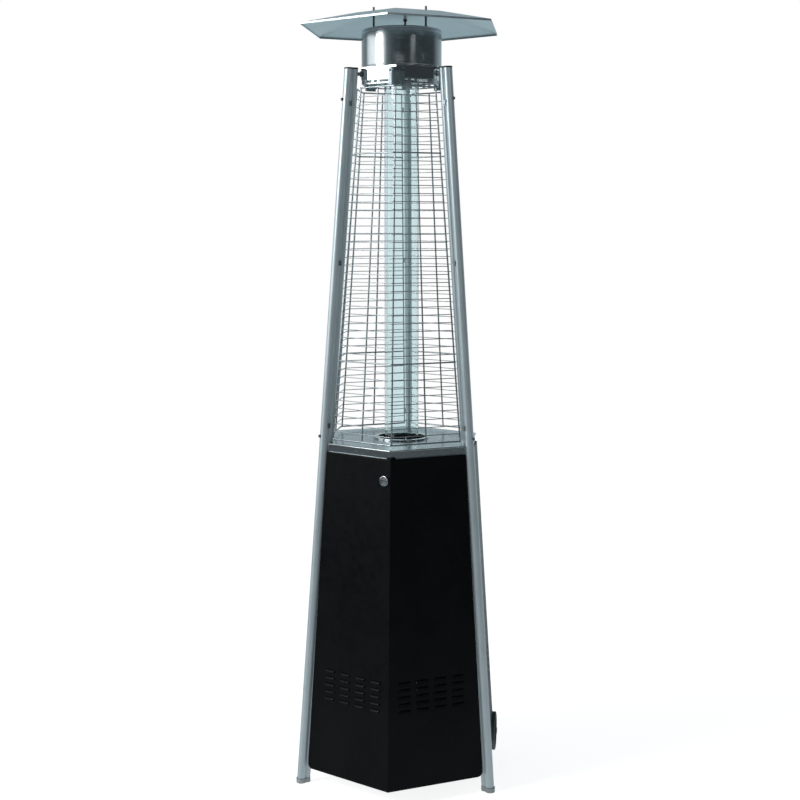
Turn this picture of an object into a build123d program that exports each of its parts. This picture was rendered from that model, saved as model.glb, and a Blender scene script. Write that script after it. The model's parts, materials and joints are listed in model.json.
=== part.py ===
"""Gas patio heater: a hexagonal pyramid on three leaning poles, with a glass flame tube.

Millimetres, +Z up, front towards -Y, standing on z = 0. Everything is laid out round the
heater's own upright axis, and moved by AXIS_Y as it is written, so that the origin is the
bottom centre of the whole heater's box.
"""

import os
from math import cos, radians, sin

from build123d import *

# ---------------------------------------------------------------- driving dimensions
POLE_ANGLES = {"left": 210, "right": 330, "back": 90}
BEND_ANGLES = {"front": 270, "right": 30, "left": 150}

# The poles lean in: their centres run from FOOT_R on the floor to POLE_TOP_R at POLE_TOP_Z.
FOOT_R = 319.0
POLE_TOP_R = 156.0
POLE_TOP_Z = 2087.0
FOOT_H = 14.0
CAP_H = 4.0
OUTER_LOBE_D = 26.0
INNER_LOBE_D = 20.0
OUTER_LOBE_AT = 6.0
INNER_LOBE_AT = -11.0
POLE_WEB = 14.0
POLE_WALL = 2.0
POLE_SIDE = OUTER_LOBE_D / 2
POLE_SCREW_Z = (1040.0, 2002.0)

# The cabinet is a hexagonal frustum, given by its corner radii.
BODY_LOW_R = 317.0
BODY_LOW_Z = 47.0
BODY_TOP_R = 250.0
BODY_TOP_Z = 994.0
SHEET = 1.5
PANEL_GAP = POLE_SIDE + 1.5
PANEL_CORNER_R = 15.0
FRAME_TOP_Z = 987.0
TRAY_Z = 50.0
TRAY_T = 2.0
TRAY_FRONT_R = 280.0
TRAY_LIP_H = 22.0
CYLINDER_PAD_D = 290.0
CYLINDER_PAD_H = 1.0
TRAY_BRACKET_W = 22.0
TRAY_BRACKET_L = 34.0
TRAY_BRACKET_H = 40.0

# Louvres: banks of slots on every facet, measured from the bend along the facet.
LOUVRE_W = 35.0
LOUVRE_H = 6.0
LOUVRE_COLUMNS = 4
LOUVRE_ROWS = 5
LOUVRE_PITCH_X = 56.0
LOUVRE_PITCH_Z = 20.5
LOUVRE_FROM_BEND = 133.0
LOUVRE_MID_Z = 312.5

# Deck and burner
DECK_R = 244.0
DECK_LEAN = 2.0
DECK_RIM = 0.8
DECK_Z = 1020.0
DECK_FLANGE_R = 245.0
DECK_LOW_Z = 994.5
DECK_HOLE_D = 145.0
BURNER_BOX_D = 150.0
BURNER_BOX_LOW_Z = 900.0
BURNER_HEAD_D = 60.0
BURNER_STEM_Z = 938.0
BURNER_CUP_Z = 976.0
BURNER_CUP_H = 16.0
BURNER_CROWN_H = 4.0
PROBE_Y = -37.0
PROBE_X = 16.0
PROBE_LOW_Z = 930.0
PROBE_CLIP_Z = 950.0
ELECTRODE_D = 7.0
THERMOCOUPLE_D = 5.0
PILOT_D = 8.0
TILT_SWITCH_Z = 930.0
TUBE_D = 100.0
TUBE_WALL = 4.0
TUBE_LOW_Z = 1006.0
TUBE_TOP_Z = 2071.0

# Guards
GUARD_LOW_R = 232.0
GUARD_LOW_Z = 1030.0
GUARD_TOP_R = 141.0
GUARD_TOP_Z = 2036.0
GUARD_T = 4.0
GUARD_WIRE = 2.8
GUARD_BAR = 5.0
GUARD_ROWS = 43
GUARD_ROW_LOW_Z = 1055.0
GUARD_ROW_PITCH = 22.7
GUARD_THICK_ROWS = (9, 35)
GUARD_GAP = POLE_SIDE + 1.0
GUARD_CLIP_Z = (1070.0, 1540.0, 1990.0)

# Head: collar, flame screen and reflector
COLLAR_R = 125.0
COLLAR_LOW_Z = 2058.0
COLLAR_TOP_Z = 2092.0
PLATE_LIP = 13.0
PLATE_SLOTS = ((-36.0, 20.0), (-12.0, 12.0), (18.0, 32.0))
PLATE_SLOT_H = 7.0
PLATE_SLOT_DROP = 6.0
BRACKET_LOW_Z = 2038.0
BRACKET_TOP_Z = 2088.0
BRACKET_ARM = 26.0
BRACKET_FRONT = 18.0
BRACKET_WING_AT = 16.0
BRACKET_OUT = 1.4
COLLAR_SCREW_Z = 2079.0
COLLAR_SCREW_D = 6.5
COLLAR_SCREW_H = 2.5
COLLAR_SCREW_IN = 5.0
SPACER_Z = 2074.0
SPACER_D = 10.0
DRUM_D = 230.0
DRUM_TOP_Z = 2202.0
DRUM_SHEET = 1.0
DRUM_LID_H = 9.0
DRUM_LID_SHEET = 1.5
STUD_D = 6.0
NUT_R = 6.2
NUT_H = 5.0
WASHER_D = 18.0
WASHER_H = 1.2
STUD_AT_R = 86.0
REFLECTOR_R = 307.0
REFLECTOR_RIM_Z = 2208.0
REFLECTOR_FLAT_R = 135.0
REFLECTOR_FLAT_Z = 2245.0
RIM_LIP_H = 5.0
REFLECTOR_SHEET = 1.2
STUD_TOP_Z = 2262.0

# Door hinge: a level line inside the front ridge, near the floor tray
HINGE_R = 270.0
HINGE_Z = 62.0
HINGE_PIN_D = 8.0
EAR_AT_X = 31.0
BRACKET_AT_X = 25.5
EAR_T = 4.0
HINGE_STRAP_Z = (50.0, 84.0)
HINGE_STRAP_T = 3.0
HINGE_STRAP_ARM = 62.0

# Latch on the front-left facet, beside the ridge
LATCH_FROM_BEND = 20.0
LATCH_Z = 934.0
LATCH_RING_D = 30.0
LATCH_CORE_D = 19.0
LATCH_SHAFT_D = 9.0
LATCH_RING_H = 7.0
LATCH_TONGUE = (32.0, 14.0, 3.0)
LATCH_TONGUE_DEPTH = 16.0

# Controls on the back-right facet
CONTROL_FACET = 60
CONTROL_Z = 890.0
CONTROL_PLATE = (120.0, 78.0, 2.0)
CONTROL_WINDOW = (96.0, 54.0)
KNOB_AT_X = -24.0
KNOB_D = 44.0
KNOB_H = 26.0
KNOB_PUSH = 4.0
NOSE_TOP = 2.9
STEM_D = 8.0
IGNITER_AT_X = 34.0
BUTTON_D = 15.0
BUTTON_PUSH = 5.0
IGNITER_CASE_D = 20.0
VALVE_BLOCK = (38.0, 34.0, 40.0)
VALVE_DEPTH = 12.0
VALVE_NOSE_D = 14.0

# Wheels at the two rear corners, turning on level axles along X
WHEEL_D = 120.0
WHEEL_W = 24.0
TYRE_T = 14.0
HUB_D = 26.0
WHEEL_X = 269.0
WHEEL_Y = 158.0
WHEEL_Z = 64.0
WHEEL_BRACKET_X = 240.0
WHEEL_ROOM = 7.0
WHEEL_ROOM_X = 242.5
AXLE_D = 10.0
AXLE_HEAD_D = 18.0

RUNNING = 0.05
CLEAR = 0.3

# The bottom centre of the heater's box: the back foot reaches further than the front ridge.
FOOT_RIM = 1.5
BACK_REACH = FOOT_R + OUTER_LOBE_AT + POLE_SIDE + FOOT_RIM
FRONT_REACH = BODY_LOW_R
AXIS_Y = (FRONT_REACH - BACK_REACH) / 2

COS30 = cos(radians(30))
SIN60 = sin(radians(60))


# ---------------------------------------------------------------- geometry helpers
def polar(radius, angle, z=0.0):
    """A point at a radius and a plan angle."""
    return Vector(radius * cos(radians(angle)), radius * sin(radians(angle)), z)


def between(z, low_z, low, high_z, high):
    """A value that changes evenly with height."""
    return low + (high - low) * (z - low_z) / (high_z - low_z)


def pole_r(z):
    """Radius of a pole's centre at a height."""
    return between(z, 0, FOOT_R, POLE_TOP_Z, POLE_TOP_R)


def body_r(z):
    """Corner radius of the cabinet's outside at a height."""
    return between(z, BODY_LOW_Z, BODY_LOW_R, BODY_TOP_Z, BODY_TOP_R)


def guard_r(z):
    """Corner radius of the guards' inside at a height."""
    return between(z, GUARD_LOW_Z, GUARD_LOW_R, GUARD_TOP_Z, GUARD_TOP_R)


def turned(shape, angle):
    """A shape turned about the heater's axis."""
    return Rot(0, 0, angle) * shape


def hexagon(radius, z):
    """A level hexagon with its corners at 30, 90, 150 ... degrees."""
    return Wire.make_polygon([polar(radius, 30 + 60 * i, z) for i in range(6)])


def hex_frustum(low_r, low_z, top_r, top_z):
    """A solid hexagonal frustum."""
    return Solid.make_loft([hexagon(low_r, low_z), hexagon(top_r, top_z)], ruled=True)


def ring(outer_d, inner_d, low_z, top_z):
    """An upright tube or washer on the heater's axis."""
    outer = Pos(0, 0, low_z) * Cylinder(outer_d / 2, top_z - low_z, align=BOTTOM)
    inner = Pos(0, 0, low_z) * Cylinder(inner_d / 2, top_z - low_z, align=BOTTOM)
    return outer - inner


BOTTOM = (Align.CENTER, Align.CENTER, Align.MIN)
TOP = (Align.CENTER, Align.CENTER, Align.MAX)


def facet_plane(angle, shift, z, radius_at, reach=100.0):
    """The tilted plane of a facet: x runs level along it, y up it, z straight out of it."""
    low, high = radius_at(z) * COS30, radius_at(z + reach) * COS30
    outward = polar(1, angle, (low - high) / reach)
    level = polar(1, angle + 90)
    return Plane(origin=polar(low, angle, z) + level * shift, x_dir=level, z_dir=outward)


def bent_outline(radius, thickness, z, arm_at):
    """A bent strip's outline, its bend on +X; arm_at gives the distance from the pole corner."""
    inner = radius - thickness / COS30

    def end(corner_r, side):
        corner, bend = polar(corner_r, 60 * side, z), Vector(corner_r, 0, z)
        return corner + (bend - corner) * (arm_at(corner_r) / corner_r)

    points = [end(radius, 1), Vector(radius, 0, z), end(radius, -1)]
    points += [end(inner, -1), Vector(inner, 0, z), end(inner, 1)]
    return Wire.make_polygon(points)


def bent_sheet(bend_angle, low_r, low_z, top_r, top_z, thickness, gap):
    """Two facets of sheet bent at a corner, stopping a sideways gap short of the pole planes."""
    low = bent_outline(low_r, thickness, low_z, lambda r: gap / SIN60)
    top = bent_outline(top_r, thickness, top_z, lambda r: gap / SIN60)
    return turned(Solid.make_loft([low, top], ruled=True), bend_angle)


def bent_strap(bend_angle, low_r, low_z, top_r, top_z, thickness, arm):
    """A short strap wrapped round a corner, with arms of equal length."""
    low = bent_outline(low_r, thickness, low_z, lambda r: r - arm)
    top = bent_outline(top_r, thickness, top_z, lambda r: r - arm)
    return turned(Solid.make_loft([low, top], ruled=True), bend_angle)


def leaning(section, low_z, top_z, angle):
    """A level section extruded along a pole's lean, then turned to the pole."""
    lean = Vector(pole_r(top_z) - pole_r(low_z), 0, top_z - low_z)
    placed = Pos(pole_r(low_z), 0, low_z) * section
    return turned(extrude(placed, amount=lean.length, dir=lean), angle)


def pole_space(angle, low_z, top_z, extra=0.2):
    """The room that a pole needs, with a little to spare, for cutting its neighbours."""
    low_x = INNER_LOBE_AT - INNER_LOBE_D / 2 - extra
    high_x = OUTER_LOBE_AT + OUTER_LOBE_D / 2 + extra
    section = Pos((low_x + high_x) / 2, 0) * Rectangle(high_x - low_x, 2 * (POLE_SIDE + extra))
    return leaning(section, low_z, top_z, angle)


def pole_section(grow=0.0):
    """The two-lobed outline of a pole, grown or shrunk evenly."""
    outer = Pos(OUTER_LOBE_AT, 0) * Circle(OUTER_LOBE_D / 2 + grow)
    inner = Pos(INNER_LOBE_AT, 0) * Circle(INNER_LOBE_D / 2 + grow)
    middle = (OUTER_LOBE_AT + INNER_LOBE_AT) / 2
    web = Pos(middle, 0) * Rectangle(OUTER_LOBE_AT - INNER_LOBE_AT, POLE_WEB + 2 * grow)
    return outer + inner + web


def screw(head_d, head_h, shank_d, shank_l):
    """A domed screw, its head standing up from the XY plane."""
    dome = fillet(Cylinder(head_d / 2, head_h, align=BOTTOM).edges().group_by(Axis.Z)[-1],
                  head_h * 0.6)
    return dome + Cylinder(shank_d / 2, shank_l, align=TOP)


def fused(shapes):
    """One shape made by joining a list of shapes."""
    whole = shapes[0]
    for shape in shapes[1:]:
        whole = whole + shape
    return whole


# ---------------------------------------------------------------- poles and feet
def pole(angle):
    """A hollow leaning pole: two round lobes with a web between them."""
    outside = leaning(pole_section(), FOOT_H, POLE_TOP_Z, angle)
    bores = Pos(OUTER_LOBE_AT, 0) * Circle(OUTER_LOBE_D / 2 - POLE_WALL)
    bores += Pos(INNER_LOBE_AT, 0) * Circle(INNER_LOBE_D / 2 - POLE_WALL)
    return outside - leaning(bores, FOOT_H, POLE_TOP_Z, angle)


def feet():
    """Plastic shoes under the poles."""
    section = pole_section(FOOT_RIM)
    return [turned(Pos(FOOT_R, 0, 0) * extrude(section, FOOT_H), a) for a in POLE_ANGLES.values()]


def pole_caps():
    """End caps on the poles' tops."""
    section = pole_section(0.4)
    return [turned(Pos(pole_r(POLE_TOP_Z), 0, POLE_TOP_Z) * extrude(section, CAP_H), a)
            for a in POLE_ANGLES.values()]


def pole_screws():
    """Screws on the poles' outer faces, two to a pole."""
    made = []
    for angle in POLE_ANGLES.values():
        for z in POLE_SCREW_Z:
            out = pole_r(z) + OUTER_LOBE_AT + OUTER_LOBE_D / 2
            plane = Plane(origin=polar(out, angle, z), x_dir=polar(1, angle + 90),
                          z_dir=polar(1, angle))
            made.append(plane.location * (Pos(0, 0, 1.0) * screw(9, 4, 4, 0.6)))
    return made


# ---------------------------------------------------------------- cabinet
def louvre_slots(bend_angle):
    """Cutters for both banks of louvres on a bent panel."""
    cutters = []
    for side in (-1, 1):
        facet = bend_angle + 30 * side
        half = body_r(LOUVRE_MID_Z) / 2
        for column in range(LOUVRE_COLUMNS):
            offset = (column - (LOUVRE_COLUMNS - 1) / 2) * LOUVRE_PITCH_X
            shift = -side * (half - LOUVRE_FROM_BEND - offset)
            for row in range(LOUVRE_ROWS):
                z = LOUVRE_MID_Z + (row - (LOUVRE_ROWS - 1) / 2) * LOUVRE_PITCH_Z
                plane = facet_plane(facet, shift, z, body_r)
                cutters.append(plane.location * Box(LOUVRE_W, LOUVRE_H, 6 * SHEET))
    return Compound(children=cutters)


def wheel_space(side):
    """Room for a wheel in the cabinet's rear corner."""
    width = 2 * (WHEEL_X - WHEEL_ROOM_X)
    centre = Pos(side * WHEEL_X, WHEEL_Y, WHEEL_Z)
    arch = centre * (Rot(0, 90, 0) * Cylinder(WHEEL_D / 2 + WHEEL_ROOM, width))
    below = centre * Box(width, WHEEL_D + 2 * WHEEL_ROOM, WHEEL_D, align=TOP)
    return arch + below


def panel_facet(side):
    """Half of a bent panel whose bend is on +X: flat sheet, rounded at the foot by the pole."""
    plane = facet_plane(30 * side, 0, BODY_LOW_Z, body_r)
    rise = (BODY_TOP_Z - BODY_LOW_Z) / plane.y_dir.Z
    gap, past_bend = PANEL_GAP / SIN60, 10
    low_end, top_end = BODY_LOW_R / 2 - gap, BODY_TOP_R / 2 - gap
    corners = [(-BODY_LOW_R / 2 - past_bend, 0), (low_end, 0), (top_end, rise),
               (-BODY_TOP_R / 2 - past_bend, rise)]
    face = make_face(Polyline([(side * x, y) for x, y in corners], close=True))
    foot = face.vertices().sort_by(lambda v: (v.X - side * low_end) ** 2 + v.Y ** 2)[0]
    face = fillet(foot, PANEL_CORNER_R)
    sheet = extrude(plane.location * face, SHEET, dir=-plane.z_dir)
    own_half = Box(4 * BODY_LOW_R, 2 * BODY_LOW_R, 3 * BODY_TOP_Z, align=(
        Align.CENTER, Align.MIN if side > 0 else Align.MAX, Align.CENTER))
    return sheet & own_half


def plain_panel(bend_angle):
    """A bent panel with its louvres."""
    sheet = turned(panel_facet(1) + panel_facet(-1), bend_angle)
    return sheet - louvre_slots(bend_angle)


def control_plane():
    """The control plate's back face."""
    return facet_plane(CONTROL_FACET, 0, CONTROL_Z, body_r)


def side_panel(name):
    """A fixed panel with its wheel arch; the right one also has the control window."""
    side = 1 if name == "right" else -1
    sheet = plain_panel(BEND_ANGLES[name]) - wheel_space(side)
    if name == "right":
        sheet -= control_plane().location * Box(*CONTROL_WINDOW, 6 * SHEET)
    return sheet


def latch_plane():
    """The facet beside the ridge, where the latch sits."""
    shift = body_r(LATCH_Z) / 2 - LATCH_FROM_BEND
    return facet_plane(240, shift, LATCH_Z, body_r)


def front_door():
    """The front panel, with a hole for the latch and a small lug on its top edge."""
    hole = latch_plane().location * Cylinder(LATCH_CORE_D / 2 + 1.5, 6 * SHEET)
    low_z, top_z = FRAME_TOP_Z + 1, BODY_TOP_Z + 6
    inset = SHEET / COS30
    lug = bent_strap(270, body_r(low_z) - inset, low_z, body_r(top_z) - inset, top_z, SHEET, 15)
    return plain_panel(BEND_ANGLES["front"]) - hole + lug


def door_hinge():
    """A strap inside the door's foot with two bored ears."""
    low_z, top_z = HINGE_STRAP_Z
    shell = (SHEET + 0.02) / COS30
    low_r, top_r = body_r(low_z) - shell, body_r(top_z) - shell
    strap = bent_strap(270, low_r, low_z, top_r, top_z, HINGE_STRAP_T, HINGE_STRAP_ARM)
    inside = hex_frustum(low_r, low_z, top_r, top_z)
    ears = []
    for side in (-1, 1):
        blank = Pos(side * EAR_AT_X, -BODY_LOW_R, 0) * Box(
            EAR_T, BODY_LOW_R - HINGE_R + 8, 24, align=(Align.CENTER, Align.MIN, Align.CENTER))
        ear = Pos(0, 0, HINGE_Z + 4) * blank & inside
        ears.append(ear)
    bore = Pos(0, -HINGE_R, HINGE_Z) * (Rot(0, 90, 0) * Cylinder(
        HINGE_PIN_D / 2 + RUNNING, 4 * EAR_AT_X))
    return fused([strap] + ears) - bore


def base_tray():
    """The floor of the cabinet: a round pad for the cylinder and upstands behind the panels."""
    def corner_r(z):
        return body_r(z) - (SHEET + CLEAR) / COS30

    corners = [polar(corner_r(TRAY_Z + TRAY_LIP_H), a, TRAY_Z) for a in (330, 30, 90, 150, 210)]
    corners.append(polar(TRAY_FRONT_R, 270, TRAY_Z))
    plate = extrude(Face(Wire.make_polygon(corners)), TRAY_T, dir=(0, 0, 1))
    lips = [bent_sheet(BEND_ANGLES[n], corner_r(TRAY_Z), TRAY_Z, corner_r(TRAY_Z + TRAY_LIP_H),
                       TRAY_Z + TRAY_LIP_H, TRAY_T, POLE_SIDE) for n in ("left", "right")]
    pad = Pos(0, 0, TRAY_Z + TRAY_T) * Cylinder(CYLINDER_PAD_D / 2, CYLINDER_PAD_H, align=BOTTOM)
    tray = fused([plate, pad] + lips)
    for angle in POLE_ANGLES.values():
        tray -= pole_space(angle, TRAY_Z - 5, TRAY_Z + TRAY_LIP_H + 5)
    for side in (-1, 1):
        tray -= wheel_space(side)
    return tray


def tray_brackets():
    """Angle brackets that hold the tray to the poles."""
    made = []
    for angle in POLE_ANGLES.values():
        low_z = TRAY_Z + TRAY_T
        top_z = low_z + TRAY_BRACKET_H
        back = pole_r(low_z) + INNER_LOBE_AT - INNER_LOBE_D / 2 - 0.1
        lean = pole_r(low_z) - pole_r(top_z)
        foot = Pos(back - 4, 0, low_z) * Box(
            TRAY_BRACKET_L, TRAY_BRACKET_W, 3, align=(Align.MAX, Align.CENTER, Align.MIN))
        upright = extrude(
            Plane.XY.offset(low_z) * Pos(back - 2, 0) * Rectangle(4, TRAY_BRACKET_W),
            amount=Vector(-lean, 0, top_z - low_z).length, dir=(-lean, 0, top_z - low_z))
        made.append(turned(foot + upright, angle))
    return made


def upper_frame():
    """Flat bars behind the panels' top edges, one between each pair of poles."""
    low_z, top_z = FRAME_TOP_Z - 30, FRAME_TOP_Z
    inset = (SHEET + CLEAR + 0.3) / COS30
    bars = []
    for angle in BEND_ANGLES.values():
        bars.append(bent_sheet(angle, body_r(low_z) - inset, low_z, body_r(top_z) - inset, top_z,
                               2.0, POLE_SIDE + 0.2))
    return bars


def hinge_brackets():
    """Two bored brackets standing on the tray."""
    made = []
    for side in (-1, 1):
        blank = Pos(side * BRACKET_AT_X, -HINGE_R - 8, TRAY_Z + TRAY_T) * Box(
            EAR_T, 46, 18, align=(Align.CENTER, Align.MIN, Align.MIN))
        bore = Pos(side * BRACKET_AT_X, -HINGE_R, HINGE_Z) * (
            Rot(0, 90, 0) * Cylinder(HINGE_PIN_D / 2, 3 * EAR_T))
        made.append(blank - bore)
    return made


def hinge_pins():
    """Pins fixed in the brackets, carrying the door's ears."""
    middle = (BRACKET_AT_X + EAR_AT_X) / 2
    return [Pos(side * middle, -HINGE_R, HINGE_Z) * (
        Rot(0, 90, 0) * Cylinder(HINGE_PIN_D / 2, EAR_AT_X - BRACKET_AT_X + EAR_T + 1))
        for side in (-1, 1)]


# ---------------------------------------------------------------- latch
def latch_ring():
    """The bright ring round the latch, on the door's face."""
    outer = Cylinder(LATCH_RING_D / 2, LATCH_RING_H, align=BOTTOM)
    outer = fillet(outer.edges().group_by(Axis.Z)[-1], 2.5)
    inner = Cylinder(LATCH_CORE_D / 2 + CLEAR, LATCH_RING_H, align=BOTTOM)
    return latch_plane().location * (Pos(0, 0, 0.05) * (outer - inner))


def latch_core():
    """The turning centre with a finger slot, and its shaft through the door."""
    head = Pos(0, 0, -3) * Cylinder(LATCH_CORE_D / 2, 9, align=BOTTOM)
    head = fillet(head.edges().group_by(Axis.Z)[-1], 1.0)
    grip = Pos(0, 0, 6) * Box(LATCH_CORE_D - 3, 3.5, 3, align=TOP)
    shaft = Pos(0, 0, -3) * Cylinder(LATCH_SHAFT_D / 2, 13, align=TOP)
    return latch_plane().location * (head - grip + shaft)


def latch_cam():
    """The tongue that the latch turns, inside the door."""
    length, _, thickness = LATCH_TONGUE
    arm = Pos(-length / 2, 0, 0) * Box(*LATCH_TONGUE, align=BOTTOM)
    boss = Cylinder(LATCH_SHAFT_D / 2 + 6.5, thickness, align=BOTTOM)
    tongue = Pos(0, 0, -LATCH_TONGUE_DEPTH) * (boss + arm)
    return latch_plane().location * (tongue - Cylinder(LATCH_SHAFT_D / 2 + 0.02, 60))


# ---------------------------------------------------------------- deck and burner
def deck():
    """A pressed deck: rimmed top, skirt and bottom flange, with the burner opening."""
    low_r, shell = DECK_R - DECK_LEAN, SHEET / COS30
    outside = hex_frustum(low_r, DECK_LOW_Z, DECK_R, DECK_Z)
    outside += hex_frustum(DECK_R + DECK_RIM, DECK_Z - SHEET, DECK_R + DECK_RIM, DECK_Z)
    inside = hex_frustum(low_r - shell, DECK_LOW_Z, DECK_R - shell, DECK_Z - SHEET)
    flange = hex_frustum(DECK_FLANGE_R, DECK_LOW_Z, DECK_FLANGE_R, DECK_LOW_Z + SHEET)
    pressed = outside + flange - inside
    for angle in POLE_ANGLES.values():
        pressed -= pole_space(angle, DECK_LOW_Z - 10, DECK_Z + 10)
    return pressed - Pos(0, 0, DECK_Z) * Cylinder(DECK_HOLE_D / 2, 10)


def burner_ring():
    """The raised ring round the burner opening."""
    turned_ring = ring(DECK_HOLE_D + 18, DECK_HOLE_D - 4, DECK_Z + 0.02, DECK_Z + 5)
    return fillet(turned_ring.edges().group_by(Axis.Z)[-1], 1.2)


def burner_box():
    """The open-topped can under the deck."""
    wall = ring(BURNER_BOX_D, BURNER_BOX_D - 2 * SHEET, BURNER_BOX_LOW_Z, DECK_Z - SHEET - 0.1)
    floor = ring(BURNER_BOX_D - SHEET, 14, BURNER_BOX_LOW_Z, BURNER_BOX_LOW_Z + SHEET)
    vents = [turned(Pos(BURNER_BOX_D / 2, 0, BURNER_BOX_LOW_Z + 22) * Box(10, 14, 12), 24 * i)
             for i in range(15)]
    return wall + floor - Compound(children=vents)


def tube_seat():
    """The plate that carries the glass tube: legs to the can's floor, clips round the tube."""
    plate = ring(BURNER_BOX_D - 2 * SHEET - 1, TUBE_D - 12, TUBE_LOW_Z - 2, TUBE_LOW_Z)
    legs = [turned(Pos(60, 0, BURNER_BOX_LOW_Z + SHEET) * Box(
        4, 10, TUBE_LOW_Z - 2 - BURNER_BOX_LOW_Z - SHEET, align=BOTTOM), 60 + 120 * i)
        for i in range(3)]
    clips = [turned(Pos(TUBE_D / 2 + 0.4, 0, TUBE_LOW_Z) * Box(
        1.5, 10, 16, align=(Align.MIN, Align.CENTER, Align.MIN)), 30 + 120 * i)
        for i in range(3)]
    return fused([plate] + legs + clips)


def burner_head():
    """A round burner with a stem down to the gas pipe."""
    cup = Pos(0, 0, BURNER_CUP_Z) * Cylinder(BURNER_HEAD_D / 2, BURNER_CUP_H, align=BOTTOM)
    cup = fillet(cup.edges().group_by(Axis.Z)[0], 5)
    crown = Pos(0, 0, BURNER_CUP_Z + BURNER_CUP_H) * Cylinder(
        BURNER_HEAD_D / 2 - 8, BURNER_CROWN_H, align=BOTTOM)
    stem = Pos(0, 0, BURNER_STEM_Z) * Cylinder(9, BURNER_CUP_Z - BURNER_STEM_Z, align=BOTTOM)
    bore = Pos(0, 0, BURNER_STEM_Z + 22) * Cylinder(4.1, 30, align=TOP)
    return cup + crown + stem - bore


def burner_screen():
    """The domed gauze on the burner."""
    crown_z = BURNER_CUP_Z + BURNER_CUP_H + BURNER_CROWN_H
    dome = Pos(0, 0, crown_z + 0.1) * Cylinder(BURNER_HEAD_D / 2 - 9, 6, align=BOTTOM)
    return fillet(dome.edges().group_by(Axis.Z)[-1], 4.5)


def probe(x, y, low_z, top_z, diameter):
    """A thin upright rod."""
    return Pos(x, y, low_z) * Cylinder(diameter / 2, top_z - low_z, align=BOTTOM)


def electrode():
    """The spark electrode: a ceramic sleeve and a bent tip above the burner."""
    sleeve_top, rod_top, rod_d = 1000, 1012, 2.5
    sleeve = probe(PROBE_X, PROBE_Y, PROBE_LOW_Z + 10, sleeve_top, ELECTRODE_D)
    rod = probe(PROBE_X, PROBE_Y, sleeve_top, rod_top, rod_d)
    tip = Pos(PROBE_X, PROBE_Y, rod_top) * (Rot(-35, 0, 0) * Cylinder(rod_d / 2, 16, align=BOTTOM))
    return sleeve + rod + tip


def thermocouple():
    """The flame-failure probe."""
    return probe(-PROBE_X, PROBE_Y, PROBE_LOW_Z, 1008, THERMOCOUPLE_D)


def probe_clip():
    """The plate that holds the pilot, electrode and thermocouple to the burner's stem."""
    place = Pos(0, PROBE_Y, PROBE_CLIP_Z)
    plate = place * Box(46, 14, 2, align=BOTTOM)
    plate += place * Box(14, -PROBE_Y - 9.1, 2, align=(Align.CENTER, Align.MIN, Align.MIN))
    held = ((PROBE_X, ELECTRODE_D), (-PROBE_X, THERMOCOUPLE_D), (0, PILOT_D))
    bores = [place * Pos(x, 0, 0) * Cylinder(d / 2 + 0.1, 10) for x, d in held]
    return plate - fused(bores)


def pilot_tube():
    """The pilot burner's upright tube and hood."""
    hood_z, hood_h = 998, 6
    tube = probe(0, PROBE_Y, PROBE_LOW_Z, hood_z, PILOT_D)
    return tube + probe(0, PROBE_Y, hood_z, hood_z + hood_h, PILOT_D + 2)


def tilt_switch():
    """The switch that shuts the gas off if the heater tips."""
    case = Pos(0, 102, TILT_SWITCH_Z) * Box(30, 26, 34)
    return case + Pos(0, 83, TILT_SWITCH_Z) * Box(12, 15, 20)


# ---------------------------------------------------------------- gas controls
def control_plate():
    """The plate that carries the knob and the igniter."""
    plate = Box(*CONTROL_PLATE, align=BOTTOM)
    plate = fillet(plate.edges().filter_by(Axis.Z), 6)
    plate -= Pos(KNOB_AT_X, 0, 0) * Cylinder(VALVE_NOSE_D / 2 + 0.1, 10)
    plate -= Pos(IGNITER_AT_X, 0, 0) * Cylinder(IGNITER_CASE_D / 2 + 0.1, 10)
    return control_plane().location * (Pos(0, 0, 0.05) * plate)


def gas_valve():
    """The valve block behind the plate, with its nose, inlet and outlet bosses."""
    _, height, depth = VALVE_BLOCK
    back = -VALVE_DEPTH - depth
    block = Pos(KNOB_AT_X, 0, -VALVE_DEPTH) * Box(*VALVE_BLOCK, align=TOP)
    block = fillet(block.edges().filter_by(Axis.Z), 4)
    nose = Pos(KNOB_AT_X, 0, -VALVE_DEPTH) * Cylinder(
        VALVE_NOSE_D / 2, VALVE_DEPTH + NOSE_TOP, align=BOTTOM)
    outlet = Pos(KNOB_AT_X, 0, back) * Cylinder(8, 10, align=TOP)
    inlet = Pos(KNOB_AT_X, -height / 2, -34) * (Rot(90, 0, 0) * Cylinder(9, 10, align=BOTTOM))
    bore = Pos(KNOB_AT_X, 0, 4.1) * Cylinder(STEM_D / 2 + RUNNING, 22, align=TOP)
    port = Pos(KNOB_AT_X, 0, back) * Cylinder(4.1, 12, align=TOP)
    return control_plane().location * (block + nose + outlet + inlet - bore - port)


def valve_stem():
    """The turning stem, flatted where the knob slides on it."""
    stem = Pos(KNOB_AT_X, 0, -17.5) * Cylinder(STEM_D / 2, 41, align=BOTTOM)
    flat = Pos(KNOB_AT_X, 2.5, NOSE_TOP) * Box(
        10, 4, 30, align=(Align.CENTER, Align.MIN, Align.MIN))
    return control_plane().location * (stem - flat)


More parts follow.
